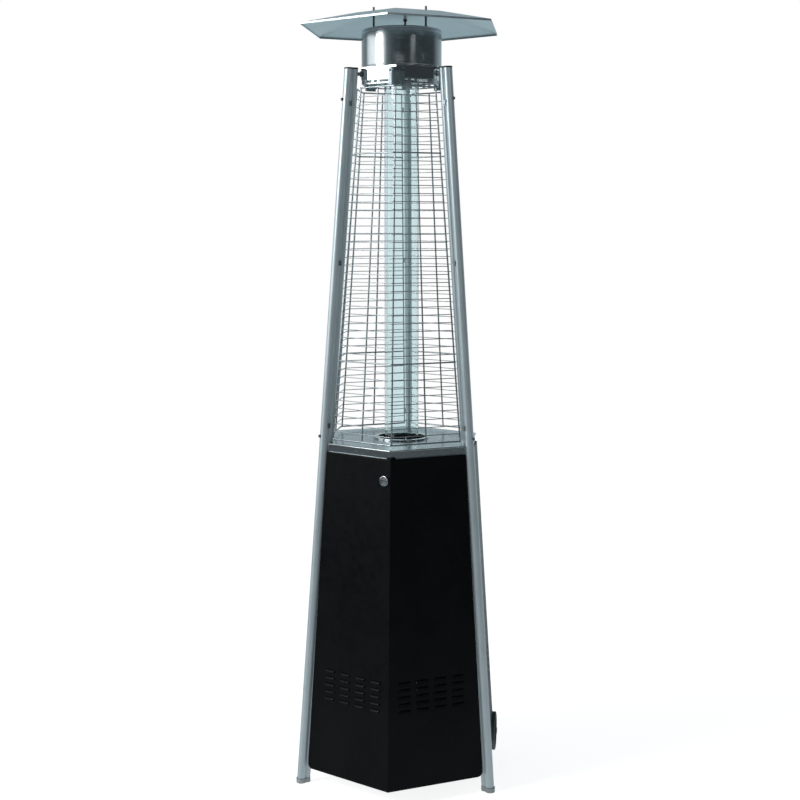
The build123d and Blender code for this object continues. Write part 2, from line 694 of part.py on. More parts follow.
def control_knob():
    """The knob: a skirted barrel with a raised grip, bored for the flatted stem."""
    low = CONTROL_PLATE[2] + 0.05 + KNOB_PUSH + 1.5
    skirt = Pos(0, 0, low) * Cylinder(KNOB_D / 2, 6, align=BOTTOM)
    barrel = Pos(0, 0, low + 6) * Cylinder(KNOB_D / 2 - 5, KNOB_H - 6, align=BOTTOM)
    barrel = fillet(barrel.edges().group_by(Axis.Z)[-1], 3)
    grip = Pos(0, 0, low + KNOB_H - 6) * Box(KNOB_D - 14, 8, 9, align=BOTTOM)
    grip = fillet(grip.edges().filter_by(Axis.Z), 3)
    round_bore = Cylinder(STEM_D / 2 + RUNNING, 23.5 + KNOB_PUSH + 1, align=BOTTOM)
    flat = Pos(0, 2.5 + RUNNING, 0) * Box(10, 4, 60, align=(Align.CENTER, Align.MIN, Align.MIN))
    bore = round_bore - flat
    return control_plane().location * (Pos(KNOB_AT_X, 0, 0) * (skirt + barrel + grip - bore))


def igniter_body():
    """The push-button igniter's threaded case, with a flange on the plate."""
    case = Pos(IGNITER_AT_X, 0, 4) * Cylinder(IGNITER_CASE_D / 2, 50, align=TOP)
    flange = Pos(IGNITER_AT_X, 0, 2.15) * Cylinder(13, 2.5, align=BOTTOM)
    bore = Pos(IGNITER_AT_X, 0, 6) * Cylinder(BUTTON_D / 2 + CLEAR, 30, align=TOP)
    return control_plane().location * (case + flange - bore)


def igniter_button():
    """The igniter's button."""
    cap = Pos(IGNITER_AT_X, 0, -15) * Cylinder(BUTTON_D / 2, 28, align=BOTTOM)
    return control_plane().location * fillet(cap.edges().group_by(Axis.Z)[-1], 2)


def gas_inlet():
    """The brass hose connector under the valve."""
    nut = extrude(RegularPolygon(11, 6), 12)
    barb = Pos(0, 0, 12) * Cylinder(5.5, 26, align=BOTTOM)
    bore = Cylinder(3, 40, align=BOTTOM)
    turned_in = Pos(KNOB_AT_X, -27.1, -34) * (Rot(90, 0, 0) * (nut + barb - bore))
    return control_plane().location * turned_in


def swept_pipe(points, bend_r, outer_d):
    """A round pipe along a path of straight runs and arcs."""
    path = FilletPolyline(*points, radius=bend_r)
    start = Plane(origin=path @ 0, z_dir=path % 0)
    return sweep(start * Circle(outer_d / 2), path=path)


def burner_pipe():
    """The pipe from the valve's outlet to the burner."""
    place = control_plane().location
    start = (place * Pos(KNOB_AT_X, 0, -53)).position
    inward = (place * Pos(KNOB_AT_X, 0, -110)).position
    return swept_pipe([start, inward, Vector(0, 0, 878), Vector(0, 0, 958)], 26, 8)


# ---------------------------------------------------------------- guards
def guard_facet(angle, bend_side):
    """One flat facet of a guard: bars at its edges and middle, wires across."""
    plane = facet_plane(angle, 0, GUARD_LOW_Z, guard_r)
    length = (facet_plane(angle, 0, GUARD_TOP_Z, guard_r).origin - plane.origin).length
    rise = length / (GUARD_TOP_Z - GUARD_LOW_Z)

    def edges(v):
        """The facet's two ends at a height up it."""
        r = guard_r(GUARD_LOW_Z + v / rise)
        bend, free = r / 2, r / 2 - GUARD_GAP / SIN60
        return (-free, bend) if bend_side > 0 else (-bend, free)

    def band(v_low, v_high, share_low, share_high, inset_low, inset_high):
        """An opening between two heights and two upright bars."""
        points = []
        for v, order in ((v_low, 1), (v_high, -1)):
            left, right = edges(v)
            pair = [(left + (right - left) * share_low + inset_low, v),
                    (left + (right - left) * share_high - inset_high, v)]
            points += pair[::order]
        return Wire.make_polygon([Vector(*p, 0) for p in points])

    rows = [(0.0, GUARD_BAR)]
    for i in range(GUARD_ROWS):
        v = (GUARD_ROW_LOW_Z + i * GUARD_ROW_PITCH - GUARD_LOW_Z) * rise
        half = (GUARD_BAR if i in GUARD_THICK_ROWS else GUARD_WIRE) / 2
        rows.append((v - half, v + half))
    rows.append((length - GUARD_BAR, length))
    holes = []
    for below, above in zip(rows, rows[1:]):
        holes.append(band(below[1], above[0], 0, 0.5, GUARD_BAR, GUARD_BAR / 2))
        holes.append(band(below[1], above[0], 0.5, 1, GUARD_BAR / 2, GUARD_BAR))
    (a, b), (c, d) = edges(0), edges(length)
    outline = Wire.make_polygon(
        [Vector(a, 0, 0), Vector(b, 0, 0), Vector(d, length, 0), Vector(c, length, 0)])
    return plane.location * Solid.extrude(Face(outline, holes), Vector(0, 0, GUARD_T))


def guard(bend_angle):
    """A wire guard of two facets meeting at a corner."""
    return [guard_facet(bend_angle - 30, 1), guard_facet(bend_angle + 30, -1)]


def guard_clips():
    """Small blocks that hold the guards' ends to the poles."""
    made = []
    for angle in POLE_ANGLES.values():
        for z in GUARD_CLIP_Z:
            for side in (-1, 1):
                block = Pos(pole_r(z) - 1.0, side * (POLE_SIDE + 0.1), z) * Box(
                    7, 3, 14, align=(Align.CENTER, Align.MIN if side > 0 else Align.MAX, Align.CENTER))
                made.append(turned(block, angle))
    return made


# ---------------------------------------------------------------- head
def glass_tube():
    """The glass flame tube."""
    return ring(TUBE_D, TUBE_D - 2 * TUBE_WALL, TUBE_LOW_Z, TUBE_TOP_Z)


def tube_plate():
    """The plate in the collar's foot that centres the tube, with a slotted lip turned down."""
    corner_r = COLLAR_R - (SHEET + 0.05) / COS30
    inner_r = corner_r - SHEET / COS30
    lip_z = COLLAR_LOW_Z - PLATE_LIP
    plate = hex_frustum(corner_r, lip_z, corner_r, COLLAR_LOW_Z + 2)
    plate -= hex_frustum(inner_r, lip_z - 1, inner_r, COLLAR_LOW_Z)
    plate -= Pos(0, 0, COLLAR_LOW_Z) * Cylinder(TUBE_D / 2 + 1.5, 10)
    slots = []
    for facet in range(0, 360, 60):
        for shift, width in PLATE_SLOTS:
            place = facet_plane(facet, shift, COLLAR_LOW_Z - PLATE_SLOT_DROP, lambda _: corner_r)
            slots.append(place.location * Box(width, PLATE_SLOT_H, 6 * SHEET))
    return plate - Compound(children=slots)


def tube_top_ring():
    """The soft seal round the tube on the plate."""
    return ring(TUBE_D + 18, TUBE_D + 0.3, COLLAR_LOW_Z + 2, COLLAR_LOW_Z + 9)


def collar_ring():
    """The bright hexagonal band between the poles' tops."""
    outside = hex_frustum(COLLAR_R, COLLAR_LOW_Z, COLLAR_R, COLLAR_TOP_Z)
    inner_r = COLLAR_R - SHEET / COS30
    return outside - hex_frustum(inner_r, COLLAR_LOW_Z - 1, inner_r, COLLAR_TOP_Z + 1)


def drum_base():
    """The plate on the collar that carries the flame screen."""
    plate = hex_frustum(COLLAR_R, COLLAR_TOP_Z, COLLAR_R, COLLAR_TOP_Z + SHEET)
    return plate - Pos(0, 0, COLLAR_TOP_Z) * Cylinder(TUBE_D / 2 + 8, 10)


def collar_brackets():
    """Flat-fronted corner pieces with two wings, clamped over the collar's bends."""
    inner_r, outer_r = COLLAR_R + 0.06, COLLAR_R + BRACKET_OUT

    def along(corner_r, side, distance):
        corner, bend = polar(corner_r, 60 * side), Vector(corner_r, 0)
        return bend + (corner - bend) * (distance / corner_r)

    def half(side):
        return [along(inner_r, side, BRACKET_ARM), along(outer_r, side, BRACKET_ARM),
                along(outer_r, side, BRACKET_WING_AT), Vector(outer_r, side * BRACKET_FRONT / 2)]

    face = Face(Wire.make_polygon([Vector(inner_r, 0)] + half(1) + half(-1)[::-1]))
    height = BRACKET_TOP_Z - BRACKET_LOW_Z
    blank = Pos(0, 0, BRACKET_LOW_Z) * extrude(face, height, dir=(0, 0, 1))
    return [turned(blank, a) for a in BEND_ANGLES.values()]


def collar_screws():
    """Screws through the corner pieces: two on each flat front and one on each wing."""
    head = Pos(0, 0, 0.06) * screw(COLLAR_SCREW_D, COLLAR_SCREW_H, 3, 0.03)
    made = []
    for bend in BEND_ANGLES.values():
        for side in (-1, 1):
            front = Plane(origin=polar(COLLAR_R + BRACKET_OUT, bend, COLLAR_SCREW_Z),
                          x_dir=polar(1, bend + 90), z_dir=polar(1, bend))
            made.append(front.location * (Pos(COLLAR_SCREW_IN * side, 0, 0) * head))
            shift = -side * (COLLAR_R / 2 - BRACKET_ARM + COLLAR_SCREW_IN)
            wing = facet_plane(bend + 30 * side, shift, COLLAR_SCREW_Z, lambda _: COLLAR_R)
            made.append(wing.location * (Pos(0, 0, BRACKET_OUT * COS30) * head))
    return made


def collar_spacers():
    """Round spacers with a washer, bolted between the collar's corners and the poles."""
    pole_face = pole_r(SPACER_Z + SPACER_D) + INNER_LOBE_AT - INNER_LOBE_D / 2 - 0.1
    length = pole_face - COLLAR_R - 0.1
    made = []
    for angle in POLE_ANGLES.values():
        place = Plane(origin=polar(COLLAR_R + 0.1, angle, SPACER_Z), x_dir=polar(1, angle + 90),
                      z_dir=polar(1, angle))
        sleeve = Cylinder(SPACER_D / 2, length, align=BOTTOM)
        washer = Cylinder(SPACER_D / 2 + 3, 2, align=BOTTOM)
        made.append(place.location * (sleeve + washer))
    return made


def flame_drum():
    """The round flame screen."""
    return ring(DRUM_D, DRUM_D - 2 * DRUM_SHEET, COLLAR_TOP_Z + SHEET + 0.02, DRUM_TOP_Z - DRUM_LID_H)


def drum_lid():
    """The flame screen's lid, with a rounded edge and holes for the studs."""
    low = DRUM_TOP_Z - DRUM_LID_H
    cap = fillet((Pos(0, 0, low) * Cylinder(DRUM_D / 2, DRUM_LID_H, align=BOTTOM))
                 .edges().group_by(Axis.Z)[-1], 6)
    hollow = fillet((Pos(0, 0, low) * Cylinder(
        DRUM_D / 2 - DRUM_LID_SHEET, DRUM_LID_H - DRUM_LID_SHEET, align=BOTTOM))
        .edges().group_by(Axis.Z)[-1], 6 - DRUM_LID_SHEET)
    holes = [turned(Pos(STUD_AT_R, 0, DRUM_TOP_Z) * Cylinder(STUD_D / 2 + 0.1, 10), a)
             for a in POLE_ANGLES.values()]
    return cap - hollow - fused(holes)


def reflector():
    """The hexagonal reflector: sloping sides, a flat top and an upright rim lip."""
    drop = REFLECTOR_SHEET
    shell = drop / COS30
    rim_z = REFLECTOR_RIM_Z
    lip = hex_frustum(REFLECTOR_R, rim_z - RIM_LIP_H, REFLECTOR_R, rim_z)
    slope = hex_frustum(REFLECTOR_R, rim_z, REFLECTOR_FLAT_R, REFLECTOR_FLAT_Z)
    lip_in = hex_frustum(REFLECTOR_R - shell, rim_z - RIM_LIP_H, REFLECTOR_R - shell, rim_z - drop)
    slope_in = hex_frustum(REFLECTOR_R - shell, rim_z - drop, REFLECTOR_FLAT_R - shell,
                           REFLECTOR_FLAT_Z - drop)
    holes = [turned(Pos(STUD_AT_R, 0, REFLECTOR_FLAT_Z) * Cylinder(STUD_D / 2 + 0.2, 10), a)
             for a in POLE_ANGLES.values()]
    return lip + slope - lip_in - slope_in - fused(holes)


def on_studs(shape, z):
    """A shape repeated on each stud at a height."""
    return [turned(Pos(STUD_AT_R, 0, z) * shape, a) for a in POLE_ANGLES.values()]


def reflector_studs():
    """Three studs from the flame screen to the reflector."""
    low = DRUM_TOP_Z - 8
    return on_studs(Cylinder(STUD_D / 2, STUD_TOP_Z - low, align=BOTTOM), low)


def reflector_nuts():
    """Nuts above and below the reflector and on the lid, with washers under the top ones."""
    nut = extrude(RegularPolygon(NUT_R, 6), NUT_H) - Cylinder(STUD_D / 2 + 0.05, 20)
    washer = Cylinder(WASHER_D / 2, WASHER_H, align=BOTTOM) - Cylinder(STUD_D / 2 + 0.1, 10)
    levels = (DRUM_TOP_Z + 0.05, REFLECTOR_FLAT_Z - REFLECTOR_SHEET - 0.05 - NUT_H,
              REFLECTOR_FLAT_Z + WASHER_H + 0.1)
    nuts = [n for z in levels for n in on_studs(nut, z)]
    return nuts + on_studs(washer, REFLECTOR_FLAT_Z + 0.05)


# ---------------------------------------------------------------- wheels
def along_x(shape, side, x):
    """A turned shape laid along X at a wheel, its +Z pointing outwards."""
    return Pos(side * x, WHEEL_Y, WHEEL_Z) * (Rot(0, 90 * side, 0) * shape)


def wheel_tyre(side):
    """The tyre."""
    band = Cylinder(WHEEL_D / 2, WHEEL_W) - Cylinder(WHEEL_D / 2 - TYRE_T, WHEEL_W)
    rims = band.edges().filter_by(GeomType.CIRCLE).sort_by(SortBy.RADIUS)[-2:]
    band = fillet(rims, 5)
    return along_x(band, side, WHEEL_X)


def wheel_hub(side):
    """The wheel's spoked centre, bored for the axle."""
    rim_r = WHEEL_D / 2 - TYRE_T - 0.02
    disc = Cylinder(rim_r, WHEEL_W / 3) + Cylinder(HUB_D / 2, WHEEL_W)
    rim = Cylinder(rim_r, WHEEL_W - 4) - Cylinder(WHEEL_D / 2 - TYRE_T - 4, WHEEL_W)
    spaces = [turned(Pos(28, 0, 0) * Cylinder(6.5, 20), 60 * i) for i in range(6)]
    return along_x(disc + rim - fused(spaces) - Cylinder(AXLE_D / 2 + RUNNING, 60), side, WHEEL_X)


def wheel_axles():
    """Headed axle pins."""
    low = WHEEL_BRACKET_X - 4
    high = WHEEL_X + WHEEL_W / 2 + CLEAR
    pin = Cylinder(AXLE_D / 2, high - low, align=BOTTOM)
    head = Pos(0, 0, high - low) * Cylinder(AXLE_HEAD_D / 2, 3, align=BOTTOM)
    head = fillet(head.edges().group_by(Axis.Z)[-1], 1)
    return [along_x(pin + head, side, low) for side in (-1, 1)]


def wheel_brackets():
    """Plates standing on the tray that hold the axles."""
    made = []
    for side in (-1, 1):
        low_z = TRAY_Z + TRAY_T
        plate = Pos(side * WHEEL_BRACKET_X, 128, low_z) * Box(4, 70, 44, align=BOTTOM)
        foot = Pos(side * (WHEEL_BRACKET_X - 12), 118, low_z) * Box(24, 50, 3, align=BOTTOM)
        spacer = along_x(Cylinder(9, WHEEL_X - WHEEL_W / 2 - CLEAR - WHEEL_BRACKET_X - 2,
                                  align=BOTTOM), side, WHEEL_BRACKET_X + 2)
        bore = along_x(Cylinder(AXLE_D / 2 + 0.02, 60), side, WHEEL_BRACKET_X)
        made.append(plate + foot + spacer - bore)
    return made


# ---------------------------------------------------------------- writing
def nodes():
    """Every node's name and its shape, or its list of separate solids."""
    made = {f"pole_{name}": pole(angle) for name, angle in POLE_ANGLES.items()}
    made |= {f"guard_{name}": guard(angle) for name, angle in BEND_ANGLES.items()}
    made |= {f"side_panel_{name}": side_panel(name) for name in ("left", "right")}
    for name, side in (("left", -1), ("right", 1)):
        made[f"wheel_tyre_{name}"] = wheel_tyre(side)
        made[f"wheel_hub_{name}"] = wheel_hub(side)
    plain = (feet, pole_caps, pole_screws, front_door, door_hinge, base_tray,
             tray_brackets, upper_frame, hinge_brackets, hinge_pins, latch_ring, latch_core,
             latch_cam, deck, burner_ring, burner_box, tube_seat, burner_head, burner_screen,
             electrode, thermocouple, pilot_tube, probe_clip, tilt_switch,
             control_plate, gas_valve, valve_stem, control_knob, igniter_body, igniter_button,
             gas_inlet, burner_pipe, guard_clips, glass_tube, tube_plate, tube_top_ring,
             collar_ring, drum_base, collar_brackets, collar_screws, collar_spacers, flame_drum,
             drum_lid, reflector, reflector_studs, reflector_nuts,
             wheel_axles, wheel_brackets)
    made |= {make.__name__: make() for make in plain}
    return made


def main():
    """Writes one STEP file for each node."""
    os.makedirs("parts", exist_ok=True)
    for name, shape in nodes().items():
        whole = Compound(children=list(shape)) if isinstance(shape, list) else shape
        export_step(Pos(0, AXIS_Y, 0) * whole, f"parts/{name}.step")


main()
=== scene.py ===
"""The patio heater's looks: round-wire guards, a perforated flame screen, pressed louvre
hoods, fittings and a procedural material on every surface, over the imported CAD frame."""

import json
import math

import bpy
import numpy as np
from mathutils import Matrix, Vector

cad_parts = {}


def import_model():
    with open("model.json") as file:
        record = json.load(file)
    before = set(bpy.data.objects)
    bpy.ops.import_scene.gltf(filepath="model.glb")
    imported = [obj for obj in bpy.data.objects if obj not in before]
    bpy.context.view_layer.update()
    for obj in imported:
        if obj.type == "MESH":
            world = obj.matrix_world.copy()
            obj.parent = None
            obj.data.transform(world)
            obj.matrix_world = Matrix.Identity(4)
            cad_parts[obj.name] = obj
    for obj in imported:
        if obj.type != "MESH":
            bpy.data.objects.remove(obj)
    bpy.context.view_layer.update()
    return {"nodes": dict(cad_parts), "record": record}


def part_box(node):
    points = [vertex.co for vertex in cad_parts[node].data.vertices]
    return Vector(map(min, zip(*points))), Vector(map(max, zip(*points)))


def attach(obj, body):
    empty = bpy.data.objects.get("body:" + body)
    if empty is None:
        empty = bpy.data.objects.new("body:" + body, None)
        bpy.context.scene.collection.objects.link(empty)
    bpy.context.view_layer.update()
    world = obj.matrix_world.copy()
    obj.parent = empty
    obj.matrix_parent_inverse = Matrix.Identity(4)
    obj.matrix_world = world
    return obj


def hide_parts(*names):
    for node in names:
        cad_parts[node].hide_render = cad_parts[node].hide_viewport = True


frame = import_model()

# ---------------------------------------------------------------- measured from the frame
BENDS = {"front": 270, "right": 30, "left": 150}
CORNER_TURN = 60
FACET_TURN = CORNER_TURN / 2
SIN60 = math.sin(math.radians(CORNER_TURN))
COS30 = math.cos(math.radians(FACET_TURN))
CORNER_BAND = 0.003

tube_low, tube_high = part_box("glass_tube")
AXIS = Vector(((tube_low.x + tube_high.x) / 2, (tube_low.y + tube_high.y) / 2, 0))


def polar(radius, angle, z=0.0):
    """A point at a radius and plan angle about the heater's own axis."""
    turn = math.radians(angle)
    return AXIS + Vector((radius * math.cos(turn), radius * math.sin(turn), z))


def points_of(node):
    """A CAD node's vertices."""
    mesh = frame["nodes"][node].data
    flat = np.zeros(len(mesh.vertices) * 3)
    mesh.vertices.foreach_get("co", flat)
    return flat.reshape(-1, 3)


def reach(node, angle, low_z, high_z):
    """How far a node reaches from the axis in a plan direction, between two heights."""
    points = points_of(node)
    turn = math.radians(angle)
    band = points[(points[:, 2] >= low_z) & (points[:, 2] <= high_z)]
    out = (band[:, 0] - AXIS.x) * math.cos(turn) + (band[:, 1] - AXIS.y) * math.sin(turn)
    return float(out.max())


class Taper:
    """A corner radius that changes evenly with height, read from a CAD node's two ends."""

    def __init__(self, node, angle, band=CORNER_BAND):
        low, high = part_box(node)
        self.low_z, self.high_z = low.z, high.z
        self.low_r = reach(node, angle, low.z, low.z + band)
        self.high_r = reach(node, angle, high.z - band, high.z)

    def at(self, z):
        """The corner radius at a height."""
        share = (z - self.low_z) / (self.high_z - self.low_z)
        return self.low_r + (self.high_r - self.low_r) * share


# ---------------------------------------------------------------- mesh helpers
WIRE_UNIT = 0.001


def finish_piece(obj, body, material, smooth=True):
    """Links a new piece, gives it its material and slot, and rides it on its body."""
    bpy.context.scene.collection.objects.link(obj)
    obj.data.materials.append(material)
    if smooth and obj.type == "MESH":
        for polygon in obj.data.polygons:
            polygon.use_smooth = True
    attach(obj, body)


def mesh_object(name, vertices, faces):
    """A mesh object from plain lists."""
    mesh = bpy.data.meshes.new(name)
    mesh.from_pydata([tuple(v) for v in vertices], [], faces)
    mesh.validate()
    mesh.update()
    return bpy.data.objects.new(name, mesh)


def thicken(obj, thickness):
    """Makes a sheet of a surface, inwards from it."""
    solid = obj.modifiers.new("sheet", "SOLIDIFY")
    solid.thickness = thickness
    solid.offset = -1


def wires_object(name, runs, sides=1, closed=False):
    """Round wires: each run is (points, radius), a spline whose radius scales the bevel."""
    curve = bpy.data.curves.new(name, "CURVE")
    curve.dimensions = "3D"
    curve.bevel_depth = WIRE_UNIT
    curve.bevel_resolution = sides
    curve.use_fill_caps = True
    for points, radius in runs:
        spline = curve.splines.new("POLY")
        spline.points.add(len(points) - 1)
        for spline_point, point in zip(spline.points, points):
            spline_point.co = (*point, 1)
            spline_point.radius = radius / WIRE_UNIT
        spline.use_cyclic_u = closed
    return bpy.data.objects.new(name, curve)


def joint_frame(name, node):
    """A node's place seen along a joint: X level, Y up and Z out of the panel."""
    joint = next(j for j in frame["record"]["behaviour"]["joints"] if j["name"] == name)
    out = Vector(joint["axis"]).normalized()
    if joint["type"] == "slide":
        out = -out
    level = Vector((0, 0, 1)).cross(out).normalized()
    rows = Matrix((level, out.cross(level), out)).transposed().to_4x4()
    low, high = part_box(node)
    return Matrix.Translation((low + high) / 2) @ rows


def height_on(node, place):
    """How far a node reaches along a frame's Z."""
    inverse = place.inverted()
    return max((inverse @ Vector(point)).z for point in points_of(node))


def raised(vertices, faces, outline, place, low, high):
    """Adds a flat raised shape: its outline's walls and its top."""
    first, count = len(vertices), len(outline)
    for z in (low, high):
        vertices.extend(place @ Vector((x, y, z)) for x, y in outline)
    for i in range(count):
        j = (i + 1) % count
        faces.append((first + i, first + j, first + count + j, first + count + i))
    faces.append(tuple(range(first + count, first + 2 * count)))


def domed(vertices, faces, place, radius, height, around=16, rings=4):
    """Adds a domed head."""
    first = len(vertices)
    for ring in range(rings):
        rise = ring / rings * math.pi / 2
        for i in range(around):
            turn = 2 * math.pi * i / around
            x = radius * math.cos(rise) * math.cos(turn)
            y = radius * math.cos(rise) * math.sin(turn)
            vertices.append(place @ Vector((x, y, height * math.sin(rise))))
    vertices.append(place @ Vector((0, 0, height)))
    for ring in range(rings - 1):
        start = first + ring * around
        for i in range(around):
            a, b = start + i, start + (i + 1) % around
            faces.append((a, b, b + around, a + around))
    last = first + (rings - 1) * around
    for i in range(around):
        faces.append((last + i, last + (i + 1) % around, first + rings * around))


def facet_frame(angle, shift, z, corner_r, reach_up=0.1):
    """A tilted facet's frame at a height: X level along it, Y up it, Z straight out."""
    low, high = corner_r(z) * COS30, corner_r(z + reach_up) * COS30
    outward = (polar(1, angle) - AXIS + Vector((0, 0, (low - high) / reach_up))).normalized()
    level = polar(1, angle + 90) - AXIS
    rows = Matrix((level, outward.cross(level), outward)).transposed().to_4x4()
    return Matrix.Translation(polar(low, angle, z) + level * shift) @ rows


# ---------------------------------------------------------------- node trees
def rgba(value):
    """A colour, or a grey from one number, with full alpha."""
    return (*value, 1) if isinstance(value, tuple) else (value, value, value, 1)


class Graph:
    """A short-hand for building a node tree."""

    def __init__(self, tree):
        self.tree = tree

    def node(self, kind, **values):
        """Adds a node and sets its properties."""
        made = self.tree.nodes.new(kind)
        for key, value in values.items():
            setattr(made, key, value)
        return made

    def link(self, source, target):
        """Joins an output to an input."""
        self.tree.links.new(source, target)

    def along(self, vector, axis):
        """One coordinate of a vector."""
        split = self.node("ShaderNodeSeparateXYZ")
        self.link(vector, split.inputs["Vector"])
        return split.outputs[axis]

    def spread(self, source, low, high):
        """Maps low..high to 0..1."""
        spread = self.node("ShaderNodeMapRange")
        spread.inputs["From Min"].default_value = low
        spread.inputs["From Max"].default_value = high
        self.link(source, spread.inputs["Value"])
        return spread.outputs["Result"]

    def ramp(self, source, stops):
        """A ramp through any number of stops, each a place and a colour or grey."""
        ramp = self.node("ShaderNodeValToRGB")
        made = ramp.color_ramp.elements
        while len(made) < len(stops):
            made.new(0.5)
        for stop, (place, colour) in zip(made, stops):
            stop.position = place
            stop.color = rgba(colour)
        self.link(source, ramp.inputs["Fac"])
        return ramp.outputs["Color"]

    def blend(self, factor, first, second):
        """Mixes a colour towards a constant one, by the node's numbered colour sockets."""
        mix = self.node("ShaderNodeMix", data_type="RGBA")
        self.link(factor, mix.inputs["Factor"])
        self.link(first, mix.inputs[6])
        mix.inputs[7].default_value = second
        return mix.outputs[2]

    def pick(self, factor, first, second):
        """The first shader where the factor is 0, the second where it is 1."""
        mix = self.node("ShaderNodeMixShader")
        self.link(factor, mix.inputs["Fac"])
        self.link(first, mix.inputs[1])
        self.link(second, mix.inputs[2])
        return mix.outputs["Shader"]

    def glow(self, kind, colour):
        """An emission or background shader, of a constant colour or a socket's."""
        made = self.node(kind)
        if isinstance(colour, bpy.types.NodeSocket):
            self.link(colour, made.inputs["Color"])
        else:
            made.inputs["Color"].default_value = colour
        return made.outputs[0]


class Shader(Graph):
    """A builder for one Principled material."""

    def __init__(self, name, base, metallic=0.0, rough=0.5):
        self.material = bpy.data.materials.new(name)
        self.material.use_nodes = True
        super().__init__(self.material.node_tree)
        self.bsdf = self.tree.nodes["Principled BSDF"]
        self.set("Base Color", rgba(base))
        self.set("Metallic", metallic)
        self.set("Roughness", rough)
        self.place = self.node("ShaderNodeTexCoord").outputs["Object"]
        self.normal = None

    def set(self, socket, value):
        """Sets a constant on the shader's own socket."""
        self.bsdf.inputs[socket].default_value = value

    def noise(self, scale, stretch=(1, 1, 1), detail=4.0, rough=0.55):
        """Noise in object space, stretched along its axes."""
        mapping = self.node("ShaderNodeMapping")
        mapping.inputs["Scale"].default_value = stretch
        texture = self.node("ShaderNodeTexNoise")
        texture.inputs["Scale"].default_value = scale
        texture.inputs["Detail"].default_value = detail
        texture.inputs["Roughness"].default_value = rough
        self.link(self.place, mapping.inputs["Vector"])
        self.link(mapping.outputs["Vector"], texture.inputs["Vector"])
        return texture.outputs["Fac"]

    def vary(self, socket, source, low, high, start=0.3, end=0.7):
        """Drives a socket from noise, between two colours or two values."""
        self.link(self.ramp(source, ((start, low), (end, high))), self.bsdf.inputs[socket])

    def bump(self, source, strength, distance):
        """Adds a bump layer."""
        bump = self.node("ShaderNodeBump")
        bump.inputs["Strength"].default_value = strength
        bump.inputs["Distance"].default_value = distance
        self.link(source, bump.inputs["Height"])
        if self.normal:
            self.link(self.normal, bump.inputs["Normal"])
        self.normal = bump.outputs["Normal"]
        self.link(self.normal, self.bsdf.inputs["Normal"])

    def soft_edges(self, radius):
        """Rounds the look of sharp edges."""
        bevel = self.node("ShaderNodeBevel", samples=4)
        bevel.inputs["Radius"].default_value = radius
        self.normal = bevel.outputs["Normal"]
        self.link(self.normal, self.bsdf.inputs["Normal"])


# ---------------------------------------------------------------- materials
SMOOTHEST = 0.02


def shaded(colour, factor, lift=0.0):
    """A darker or lighter version of a colour."""
    return tuple(c * factor + lift for c in colour)


def brushed(name, base, rough, stretch, scale=60, depth=0.25, edge=0.0008, spread=0.12,
            metallic=1.0):
    """A metal with fine lines along its length and soft patches of colour."""
    made = Shader(name, base, metallic=metallic, rough=rough)
    made.soft_edges(edge)
    lines = made.noise(scale, stretch, detail=6)
    made.vary("Roughness", lines, max(rough - spread / 2, SMOOTHEST), rough + spread / 2)
    made.vary("Base Color", made.noise(scale=9, detail=3), shaded(base, 0.9), base)
    made.bump(lines, depth, distance=0.00005)
    return made.material


def powder_coat(name, base, rough):
    """Powder coat: a fine orange peel, with faint patches of dust."""
    made = Shader(name, base, rough=rough)
    made.soft_edges(radius=0.004)
    made.set("Specular IOR Level", 0.13)
    made.vary("Roughness", made.noise(scale=40, detail=5), rough - 0.05, rough + 0.06)
    dust = made.noise(scale=7, detail=6)
    made.vary("Base Color", dust, base, shaded(base, 1.7, lift=0.001), start=0.35, end=0.8)
    made.bump(made.noise(scale=900, detail=2), strength=0.06, distance=0.00008)
    return made.material


def plastic(name, base, rough, grain=700, depth=0.15):
    """Moulded plastic, rubber or print with a fine spark-eroded grain."""
    made = Shader(name, base, rough=rough)
    made.soft_edges(radius=0.0008)
    made.vary("Roughness", made.noise(scale=60), rough - 0.06, rough + 0.08)
    made.vary("Base Color", made.noise(scale=14), base, shaded(base, 1.25, lift=0.002))
    made.bump(made.noise(grain, detail=3), depth, distance=0.0001)
    return made.material


def clear_glass(name):
    """Clear borosilicate with faint drawn streaks along the tube."""
    made = Shader(name, (0.93, 0.98, 0.98), rough=0.01)
    made.set("Transmission Weight", 1.0)
    made.set("IOR", 1.47)
    streaks = made.noise(scale=30, stretch=(1, 1, 0.05), detail=3)
    made.vary("Roughness", streaks, 0.0, 0.03)
    made.bump(streaks, strength=0.05, distance=0.0001)
    return made.material


